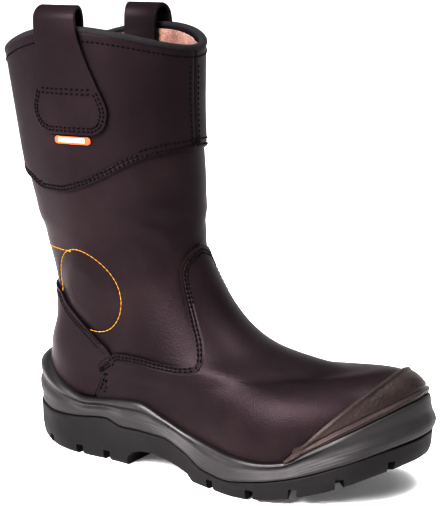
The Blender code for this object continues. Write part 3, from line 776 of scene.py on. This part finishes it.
VAMP_SEAMS = (0.0026, 0.0048)
vamp_round = spread(-VAMP_END, VAMP_END, 311)
vamp_low = level_at(vamp_round, sole_height("top", vamp_round) - TUCK)
vamp_low = np.maximum(vamp_low, cap_level(vamp_round) - CAP_LAP)
vamp_high = edge_level(VAMP_EDGE, vamp_round)
vamp_levels = vamp_low + (vamp_high - vamp_low) * to_edge(96, 1.9)
fine = np.radians(np.linspace(-VAMP_END, VAMP_END, 1600))
vamp = lay_panel("leather_vamp", vamp_round, vamp_levels, cut_edge(VAMP_EDGE, fine)[0], VAMP_SEAMS)
add_wall(vamp, OVERLAY, CUT_ROUNDING)
dress(vamp, oiled, "brown_leather", "vamp")

# Heel counter: one leather piece round the back of the heel, cut slanting at the top. It is sewn down with two
# fine rows of dark thread, its foot is tucked into the midsole's cup, and the vamp laps over its front.
COUNTER_END = 101
COUNTER_SEAMS = (0.0022, 0.0042)
COUNTER_CLEAR, COUNTER_LEAST = 0.002, 0.001
counter_round = spread(COUNTER_END, 360 - COUNTER_END, 201)
counter_low = level_at(counter_round, sole_height("top", counter_round) - TUCK)
counter_low = np.maximum(counter_low, edge_level(VAMP_EDGE, counter_round) + COUNTER_CLEAR)
counter_high = np.maximum(edge_level(COUNTER_EDGE, counter_round), counter_low + COUNTER_LEAST)
counter_levels = counter_low + (counter_high - counter_low) * to_edge(50, 1.6)
fine = np.radians(np.linspace(COUNTER_END, 360 - COUNTER_END, 900))
counter_edge = cut_edge(COUNTER_EDGE, fine)[0]
counter = lay_panel("leather_counter", counter_round, counter_levels, counter_edge, COUNTER_SEAMS)
add_wall(counter, OVERLAY, CUT_ROUNDING)
dress(counter, oiled, "brown_leather", "heel_counter")

# Toe cap: a coated scuff cap over the front of the toe, with a raised lip at its back edge and a piped groove
# along the bumper. It is glued over the vamp, and its foot is held by the midsole.
CAP_END = 56
CAP_ABOVE, CAP_LEAST = 0.0002, 0.0005
CAP_ROUNDING = 0.0008
# Raised or sunk lines: height, distance from the edge, width
LIP = (0.0010, 0.0018, 0.0014)
PIPING = (0.0009, 0.0020, 0.0009)
PIPED_GROOVE = (-0.0008, 0.0042, 0.0009)


def raised(distance, line):
    height, place, width = line
    return height * hump(distance, place, width)


cap_out = CAP_THICKNESS + 2 * GAP
cap_round = spread(-CAP_END, CAP_END, 181)
cap_low = level_at(cap_round, sole_height("top", cap_round) + CAP_ABOVE)
cap_high = np.maximum(cap_level(cap_round), cap_low + CAP_LEAST)
cap_levels = cap_low + (cap_high - cap_low) * np.linspace(0, 1, 60)[:, None]
fine = np.radians(np.linspace(-CAP_END, CAP_END, 700))
cap_foot = level_at(fine, sole_height("top", fine) + CAP_ABOVE)
flat_cap = skin(cap_round[None, :], cap_levels, cap_out)
from_back = near_edge(flat_cap, skin(fine, cap_level(fine), cap_out))
from_foot = near_edge(flat_cap, skin(fine, cap_foot, cap_out))
lip = raised(from_back, LIP)
piping = raised(from_foot, PIPING) + raised(from_foot, PIPED_GROOVE)
cap = lay_grid("coated_toe_cap", skin(cap_round[None, :], cap_levels, cap_out + lip + piping))
add_wall(cap, CAP_THICKNESS, CAP_ROUNDING)
coated = leather(
    "coated grain", (0.0140, 0.0112, 0.0106), (0.0245, 0.0192, 0.0178), (0.0440, 0.0335, 0.0285), 0.44, 480, 0.75, 0.10
)
dress(cap, coated, "coated_cap", "toe_cap")

# Cuff: a softer, greyer leather band round the top of the shaft, cut in a wave at its lower edge and sewn with
# two rows of thread, with a closed seam at its front
CUFF_EDGE = (
    (0, 0.2292), (15, 0.2284), (34, 0.2260), (50, 0.2206), (71, 0.2090), (85, 0.2022), (103, 0.1968), (117, 0.1966),
    (133, 0.2030), (155, 0.2085), (180, 0.2100)
)
CUFF_SEAMS = (0.0026, 0.0048)
FRONT_SEAM = 0.085
FRONT_RADIUS = 0.045
CLOSED_SEAM = (-0.0006, 0, 0.0009)
SEAM_RIDGE = (0.0003, 0.0025, 0.0016)
cuff_low = edge_level(CUFF_EDGE, ROUND)
cuff_levels = cuff_low + (1 - cuff_low) * (np.linspace(0, 1, 84) ** 1.6)[:, None]
fine = np.linspace(0, 2 * math.pi, 1400)
beside = np.abs(np.mod(ROUND + math.pi, 2 * math.pi) - math.pi)[None, :] * FRONT_RADIUS
closing = raised(beside, CLOSED_SEAM) + raised(beside, SEAM_RIDGE)
cuff = lay_panel("leather_cuff", ROUND, cuff_levels, cut_edge(CUFF_EDGE, fine)[0], CUFF_SEAMS, closing)
close_seams(cuff)
add_wall(cuff, OVERLAY, CUT_ROUNDING)
soft_leather = leather(
    "soft cuff leather", (0.0062, 0.0040, 0.0049), (0.0095, 0.0060, 0.0073), (0.0140, 0.0086, 0.0103), 0.47, 1050, 0.22
)
dress(cuff, soft_leather, "cuff_leather", "cuff")

# Collar binding: a black woven tape, folded over the top edge of cuff, leather and fleece and sewn through.
# Its section is a slightly squared round.
BINDING_OUTSET, BINDING_RISE = -0.0003, 0.0013
BINDING_HALF_WIDTH, BINDING_HALF_HEIGHT = 0.0031, 0.0024
BINDING_SQUARING = 0.8
collar, collar_out = last_point(ROUND, np.ones_like(ROUND)), last_normal(ROUND, np.ones_like(ROUND))
binding_rows = []
for turn in np.linspace(0, 2 * math.pi, 21):
    wide, tall = (np.sign(wave) * abs(wave) ** BINDING_SQUARING for wave in (np.cos(turn), np.sin(turn)))
    ring = collar + (BINDING_OUTSET + BINDING_HALF_WIDTH * wide) * collar_out
    binding_rows.append(ring + np.array((0, 0, GAP + (BINDING_RISE + BINDING_HALF_HEIGHT * tall))))
binding = lay_grid("woven_binding", np.array(binding_rows))
close_seams(binding)


def woven(name, dark, light, scale):
    """Woven tape: slanting ribs under a short nap. Its colour is painted darker in the hollows of the nap's bump, as
    painted shade.
    """
    material, shader, at = new_material(name)
    ribs = add_node(material, "ShaderNodeTexWave", {"Vector": at, "Scale": scale, "Distortion": 2.0, "Detail": 2.0,
                                                   "Detail Scale": 4.0}, bands_direction="DIAGONAL").outputs["Fac"]
    fuzz_and_painted_shade = noise_value(material, at, 1800, 3)
    # Painted shade: one noise gives both the colour and the nap's bump, so the tape is darker where the bump is low.
    colour = ramp(material, fuzz_and_painted_shade, ((0.35, dark), (0.7, light)))
    normal = bump(material, ribs, 0.0003, 0.35)
    normal = bump(material, fuzz_and_painted_shade, 0.0002, 0.4, normal)
    plug(material, shader, Base_Color=colour, Normal=normal, Roughness=0.75, Specular_IOR_Level=0.15)
    return material


black_tape = woven("black woven tape", (0.0080, 0.0076, 0.0084), (0.0210, 0.0200, 0.0220), 320)
dress(binding, black_tape, "binding_tape", "collar_binding")

# Pull loops: a doubled leather strap on each side, sewn to the cuff as a rounded tab, led over the collar and
# sewn down inside. Heights and runs are those of the strap's middle line as seen from the side.
STRAP_THICKNESS = 0.0026
STRAP_ROUNDING = 0.0006
LOOP_COLUMNS = ("height", "run", "outset", "half_width")
LOOP_ROWS = np.array((
    (0.2388, 0.0745, 0.0040, 0.0165), (0.2415, 0.0738, 0.0040, 0.0225), (0.2470, 0.0730, 0.0040, 0.0268),
    (0.2550, 0.0722, 0.0040, 0.0287), (0.2650, 0.0720, 0.0040, 0.0262), (0.2740, 0.0718, 0.0040, 0.0225),
    (0.2860, 0.0700, 0.0040, 0.0194), (0.2980, 0.0678, 0.0042, 0.0173), (0.3080, 0.0663, 0.0051, 0.0163),
    (0.3180, 0.0653, 0.0048, 0.0159), (0.3235, 0.0650, 0.0018, 0.0157), (0.3255, 0.0648, -0.0030, 0.0157),
    (0.3230, 0.0648, -0.0078, 0.0157), (0.3160, 0.0648, -0.0104, 0.0157), (0.3060, 0.0648, -0.0106, 0.0157),
    (0.2820, 0.0648, -0.0100, 0.0157)
))
INNER_LOOP_SETBACK = 0.0080
strap_steps = np.hypot(np.diff(LOOP_ROWS[:, 0]), np.diff(LOOP_ROWS[:, 2]))
strap_lengths = np.concatenate([[0], np.cumsum(strap_steps)])
strap_at = np.concatenate([np.linspace(0, 0.02, 24), np.linspace(0.0215, strap_lengths[-1], 84)])
strap = {name: curve(strap_lengths, LOOP_ROWS[:, n], strap_at) for n, name in enumerate(LOOP_COLUMNS)}
strap_share = np.linspace(1, -1, 33)
strap_height = np.broadcast_to(strap["height"][:, None], (len(strap_at), len(strap_share)))
TAB_SEAMS = (0.0026, 0.0050)
loops = []
for name, node, way, setback in (
    ("outer_pull_loop", "pull_loop_outer", 1, 0), ("inner_pull_loop", "pull_loop_inner", -1, INNER_LOOP_SETBACK)
):
    strap_run = strap["run"][:, None] - setback + strap["half_width"][:, None] * strap_share[None, :] * -way
    strap_turn = way * bearing_at(strap_run, strap_height)
    points = wall_point(strap_turn, strap_height, strap["outset"][:, None])
    loop = lay_grid(name, points)
    apply_modifier(loop, "strap", "SOLIDIFY", thickness=STRAP_THICKNESS, offset=0, use_quality_normals=True)
    apply_modifier(loop, "edge", "BEVEL", width=STRAP_ROUNDING, segments=3, limit_method="ANGLE",
                   angle_limit=math.radians(55))
    dress(loop, soft_leather, "brown_leather", node)
    loops.append((loop, points, last_normal(strap_turn, level_at(strap_turn, strap_height))))

# Label tab: a small woven tab, orange with a plain pale field and rounded ends. It is sewn flat on the cuff,
# just under the outer loop's tab.
LABEL_RUN = 0.0753
LABEL_HEIGHT = 0.2350
LABEL_SIZE = (0.0276, 0.0054)
LABEL_THICKNESS = 0.0012
LABEL_ROUNDING = 0.0004
LABEL_FIELD = (0.0104, 0.0015)
LABEL_FLAT, LABEL_CORNER = 0.05, 0.42
label_across = np.linspace(-0.5, 0.5, 41)
label_up = np.linspace(-0.5, 0.5, 13)
corner = np.sqrt(np.maximum(0, 1 - (np.maximum(np.abs(label_up) - LABEL_FLAT, 0) / (0.5 - LABEL_FLAT)) ** 2))
reach = (LABEL_SIZE[0] / 2 - LABEL_SIZE[1] * LABEL_CORNER * (1 - corner)) * 2
label_runs = LABEL_RUN + label_across[None, :] * reach[:, None]
label_heights = np.broadcast_to((LABEL_HEIGHT + label_up * LABEL_SIZE[1])[:, None], label_runs.shape)
label_turn = bearing_at(label_runs, label_heights)
label_out = OVERLAY + 2 * GAP + LABEL_THICKNESS
label = lay_grid("plain_label", skin(label_turn, level_at(label_turn, label_heights), label_out))
add_wall(label, LABEL_THICKNESS, LABEL_ROUNDING)
orange_tape = woven("orange woven label", (0.34, 0.058, 0.022), (0.46, 0.100, 0.046), 700)
dress(label, orange_tape, "orange_label", "label_tab")
pale_tape = woven("pale woven field", (0.40, 0.29, 0.25), (0.54, 0.43, 0.385), 700)
label.data.materials.append(pale_tape)
for face in label.data.polygons:
    run, height = face.center.x - HEEL_BACK - LABEL_RUN, face.center.z - LABEL_HEIGHT
    face.material_index = int(abs(run) < LABEL_FIELD[0] and abs(height) < LABEL_FIELD[1] and face.normal.y < -0.5)

# Dark thread: black waxed thread, in two rows along the edges of vamp, counter and cuff and round the loops'
# tabs, and in single rows under the collar binding and beside the cuff's front seam. One stitch is modelled and
# copied along each row.
STITCH = (0.0023, 0.0012, 0.0011)
FINE_STITCH = (0.0020, 0.0007, 0.0006)
PITCH = 0.0034
FINE_PITCH = 0.0027
SLANT = 0.25
STAND_OUT = 0.1
SEARCH_FROM = 0.003
bpy.ops.object.select_all(action="DESELECT")
bpy.ops.mesh.primitive_uv_sphere_add(segments=8, ring_count=6, radius=0.5)
stitch = bpy.context.object
stitch_points = np.array([vertex.co[:] for vertex in stitch.data.vertices])
stitch_points = stitch_points[:, [2, 0, 1]]
stitch_faces = [tuple(face.vertices) for face in stitch.data.polygons]
bpy.data.objects.remove(stitch, do_unlink=True)


def surface_of(piece):
    """Faces of a piece, ready to be searched for the nearest point."""
    mesh = piece.data
    return BVHTree.FromPolygons([v.co[:] for v in mesh.vertices], [tuple(p.vertices) for p in mesh.polygons])


def even_steps(path, pitch):
    """Points at an even pitch along a line."""
    lengths = np.concatenate([[0], np.cumsum(np.linalg.norm(np.diff(path, axis=0), axis=1))])
    count = max(2, int(lengths[-1] / pitch))
    at = np.linspace(0, lengths[-1], count)
    return np.stack([np.interp(at, lengths, path[:, n]) for n in range(3)], axis=-1)


def on_surface(surface, path, outward):
    """Line brought down on to a piece's outer face, and the face's direction along it."""
    found = [surface.find_nearest(Vector(p) + Vector(n) * SEARCH_FROM) for p, n in zip(path, outward)]
    places = np.array([hit[0][:] for hit in found])
    directions = np.array([hit[1][:] if Vector(hit[1]).dot(Vector(n)) > 0 else n for hit, n in zip(found, outward)])
    return places, directions


def inset_line(edge, outward, inset):
    """Line at a distance inside a cut edge. A negative inset lies on the other side."""
    along = np.gradient(edge, axis=0)
    inwards = np.cross(outward, along)
    inwards = inwards / np.maximum(np.linalg.norm(inwards, axis=1, keepdims=True), 1e-9)
    return edge + inset * inwards


def stitch_rows(surface, edge, outward, insets, pitch, size, slant=0.0):
    """Copies of the stitch in rows beside a line on a piece, side by side from row to row."""
    line = even_steps(edge, pitch)
    share = np.linspace(0, 1, len(edge))
    facing = [np.interp(np.linspace(0, 1, len(line)), share, outward[:, n]) for n in range(3)]
    facing = np.stack(facing, axis=-1)
    length, width, height = size
    rows = []
    for inset in insets:
        places, normals = inset_line(line, facing, inset), facing
        if surface:
            places, normals = on_surface(surface, places, facing)
        along = np.gradient(places, axis=0)
        along = along / np.maximum(np.linalg.norm(along, axis=1, keepdims=True), 1e-9)
        beside = np.cross(normals, along)
        beside = beside / np.maximum(np.linalg.norm(beside, axis=1, keepdims=True), 1e-9)
        up = np.cross(along, beside)
        turned = along * math.cos(slant) + beside * math.sin(slant)
        beside = np.cross(up, turned)
        copies = (
            places[:, None, :] + STAND_OUT * height * up[:, None, :]
            + stitch_points[None, :, 0:1] * length * turned[:, None, :]
            + stitch_points[None, :, 1:2] * width * beside[:, None, :]
            + stitch_points[None, :, 2:3] * height * up[:, None, :]
        )
        rows.append(copies.reshape(-1, 3))
    return rows


def sew(name, rows, material, slot):
    """Joins rows of stitches into one piece."""
    points = np.concatenate(rows)
    faces = []
    for first in range(0, len(points), len(stitch_points)):
        faces += [tuple(first + n for n in face) for face in stitch_faces]
    mesh = bpy.data.meshes.new(name)
    mesh.from_pydata(points.tolist(), [], faces)
    piece = bpy.data.objects.new(name, mesh)
    bpy.context.scene.collection.objects.link(piece)
    face_outwards(piece)
    dress(piece, material, slot, angle=80)


def thread(name, dark, light):
    """Waxed thread, finely twisted. Its colour is painted lighter on the ridges of its bump and darker in the grooves,
    as painted highlight and painted shade.
    """
    material, shader, at = new_material(name)
    twist_and_painted_light = add_node(material, "ShaderNodeTexWave", {"Vector": at, "Scale": 900, "Distortion": 1.0},
                     bands_direction="DIAGONAL").outputs["Fac"]
    # Painted highlight and painted shade: lighter where the bump is high, darker in its grooves.
    colour = ramp(material, twist_and_painted_light, ((0.2, dark), (0.8, light)))
    plug(material, shader, Base_Color=colour, Normal=bump(material, twist_and_painted_light, 0.0001, 0.5), Roughness=0.8,
         Specular_IOR_Level=0.08)
    return material


dark_thread = thread("dark thread", (0.0010, 0.0009, 0.0010), (0.0035, 0.0031, 0.0033))
SEAM_STOP = 2
fine = np.radians(np.linspace(-VAMP_END + SEAM_STOP, VAMP_END - SEAM_STOP, 1600))
rows = stitch_rows(surface_of(vamp), *cut_edge(VAMP_EDGE, fine), VAMP_SEAMS, PITCH, STITCH, SLANT)
sew("vamp_thread", rows, dark_thread, "binding_tape")

fine = np.radians(np.linspace(COUNTER_END + SEAM_STOP, 360 - COUNTER_END - SEAM_STOP, 900))
counter_face = surface_of(counter)
rows = stitch_rows(counter_face, *cut_edge(COUNTER_EDGE, fine), COUNTER_SEAMS, FINE_PITCH, FINE_STITCH)
sew("counter_thread", rows, dark_thread, "binding_tape")

BINDING_SEAM = 0.9865
CLIMB_ENDS = (0.70, 0.965)
CLIMB_START = 0.003
cuff_face = surface_of(cuff)
fine = np.linspace(0, 2 * math.pi, 1400)
insets = [-row for row in CUFF_SEAMS]
rows = stitch_rows(cuff_face, *cut_edge(CUFF_EDGE, fine), insets, PITCH, STITCH, SLANT)
climb = np.linspace(*CLIMB_ENDS, 160)
climb = climb[last_point(0.0, climb)[:, 2] > CUFF_EDGE[0][1] + CLIMB_START]
under_binding = (fine, np.full_like(fine, BINDING_SEAM))
beside_seam = [(np.full_like(climb, turn), climb) for turn in (-FRONT_SEAM, FRONT_SEAM)]
for line in (under_binding, *beside_seam):
    rows += stitch_rows(cuff_face, last_point(*line), last_normal(*line), (0.0,), PITCH, STITCH)
sew("cuff_thread", rows, dark_thread, "binding_tape")

TAB_BAR = 0.268
BAR_SEAMS = (-0.0016, 0.0016)
rows = []
tab_top = int(np.argmax(strap["height"] > TAB_BAR))
for loop, points, facing in loops:
    face = surface_of(loop)
    rim, out = (
        np.concatenate([grid[tab_top:0:-1, 0], grid[0], grid[1:tab_top + 1, -1]]) for grid in (points, facing)
    )
    rows += stitch_rows(face, rim, out, TAB_SEAMS, PITCH, STITCH, SLANT)
    bar, out = (grid[tab_top, 5:-5] for grid in (points, facing))
    rows += stitch_rows(face, bar, out, BAR_SEAMS, PITCH, STITCH, SLANT)
sew("loop_thread", rows, dark_thread, "binding_tape")

# Orange thread: a thick decorative thread, sewn in one row round each ankle pad. A tail of it leads back from
# the pad round the heel, and the row stops where the counter covers it.
RING = (0.0038, 0.0009, 0.0009)
RING_PITCH = 0.0036
RING_CLEAR = 0.0003
TAIL_HEIGHT = 0.1525
TAIL_END = PAD_RUN - 0.0145
orange_thread = thread("orange thread", (0.16, 0.088, 0.013), (0.33, 0.20, 0.038))
spin = np.linspace(0, 2 * math.pi, 361)
ring_long, ring_short = PAD_LONG * np.cos(spin), PAD_SHORT * np.sin(spin)
ring_run = PAD_RUN + ring_long * math.cos(PAD_TURN) - ring_short * math.sin(PAD_TURN)
ring_height = PAD_HEIGHT + ring_long * math.sin(PAD_TURN) + ring_short * math.cos(PAD_TURN)
ring_turn = bearing_at(ring_run, ring_height)
clear = ring_height > edge_height(COUNTER_EDGE, ring_turn) + RING_CLEAR
order = np.roll(np.arange(360), -int(np.argmax(~clear[:360])))
order = order[clear[order]]
tail_turn = np.linspace(math.pi, float(bearing_at(TAIL_END, TAIL_HEIGHT)), 80)
tail_height = np.full_like(tail_turn, TAIL_HEIGHT)
rows = []
for way in (1, -1):
    for turns, heights in ((ring_turn[order], ring_height[order]), (tail_turn, tail_height)):
        levels = level_at(way * turns, heights)
        line, out = skin(way * turns, levels, 0.0), last_normal(way * turns, levels)
        rows += stitch_rows(None, line, out, (0.0,), RING_PITCH, RING)
sew("ankle_thread", rows, orange_thread, "orange_label")

# Stage: a pale floor with a pale backdrop far round it, soft light from above and from all sides, most of it
# from the outer side, and a camera that sees that side from a little in front and above, as in the photograph.
BACKDROP_RADIUS, BACKDROP_HEIGHT = 14, 4.5
LAMP_TINT = (1.0, 0.95, 0.97)


def set_stage(name, colour_name, glow):
    """Paints the new floor or backdrop pale, with a little light of its own."""
    piece = bpy.context.object
    piece.name = name
    material, shader, _ = new_material(colour_name)
    plug(material, shader, Base_Color=(0.86, 0.86, 0.86, 1), Roughness=0.9, Specular_IOR_Level=0.1,
         Emission_Color=(1, 1, 1, 1), Emission_Strength=glow)
    piece.data.materials.append(material)


bpy.ops.object.select_all(action="DESELECT")
bpy.ops.mesh.primitive_plane_add(size=60, location=(0, 0, 0))
set_stage("studio_floor", "pale floor", 0.14)
bpy.ops.mesh.primitive_cylinder_add(vertices=64, radius=BACKDROP_RADIUS, depth=BACKDROP_HEIGHT,
                                    end_fill_type="NOTHING", location=(0, 0, BACKDROP_HEIGHT / 2))
bpy.ops.object.transform_apply(location=True, rotation=False, scale=False)
set_stage("studio_backdrop", "pale backdrop", 0.95)


def add_softbox(name, place, target, size, power):
    lamp = bpy.data.lights.new(name, "AREA")
    lamp.shape = "RECTANGLE"
    lamp.size, lamp.size_y = size
    lamp.energy = power
    lamp.color = LAMP_TINT
    box = bpy.data.objects.new(name, lamp)
    box.location = place
    box.rotation_euler = (Vector(target) - Vector(place)).to_track_quat("-Z", "Y").to_euler()
    bpy.context.scene.collection.objects.link(box)


add_softbox("overhead_softbox", (-0.22, -1.42, 1.08), (0.05, 0.0, 0.06), (1.0, 0.8), 158)
add_softbox("left_softbox", (-1.5, -1.3, 0.55), (0.0, 0.0, 0.15), (0.6, 1.0), 1.5)
add_softbox("toe_softbox", (0.50, -0.10, 1.70), (0.08, 0.0, 0.08), (0.7, 0.7), 46)
add_softbox("inner_softbox", (0.10, 1.55, 0.95), (0.0, 0.0, 0.12), (1.0, 0.8), 5)
sky = bpy.data.lights.new("ceiling_light", "SUN")
sky.energy = 3.3
sky.angle = math.radians(80)
ceiling = bpy.data.objects.new("ceiling_light", sky)
ceiling.location = (0, 0, 2)
bpy.context.scene.collection.objects.link(ceiling)

world = bpy.data.worlds.new("studio")
bpy.context.scene.world = world
world.use_nodes = True
background = world.node_tree.nodes["Background"].inputs
background["Color"].default_value = (1, 1, 1, 1)
background["Strength"].default_value = 0.10

FOCAL_PIXELS = 1376.1252
FRAME_HEIGHT = 506
CAMERA_PLACE = (0.6692 + HEEL_BACK, -0.8014, 0.353)
CAMERA_YAW = math.radians(32.3946)
CAMERA_PITCH = math.radians(11.745)
CAMERA_ROLL = math.radians(0.5437)
lens = bpy.data.cameras.new("photo camera")
lens.sensor_width = 36
lens.lens = FOCAL_PIXELS / FRAME_HEIGHT * lens.sensor_width
lens.clip_start = 0.05
camera = bpy.data.objects.new("photo camera", lens)
bpy.context.scene.collection.objects.link(camera)
turn = Matrix.Rotation(CAMERA_YAW, 4, "Z") @ Matrix.Rotation(math.pi / 2 - CAMERA_PITCH, 4, "X")
camera.matrix_world = Matrix.Translation(CAMERA_PLACE) @ turn @ Matrix.Rotation(CAMERA_ROLL, 4, "Z")
bpy.context.scene.camera = camera
bpy.context.scene.view_settings.view_transform = "Standard"
bpy.context.scene.view_settings.gamma = 0.62
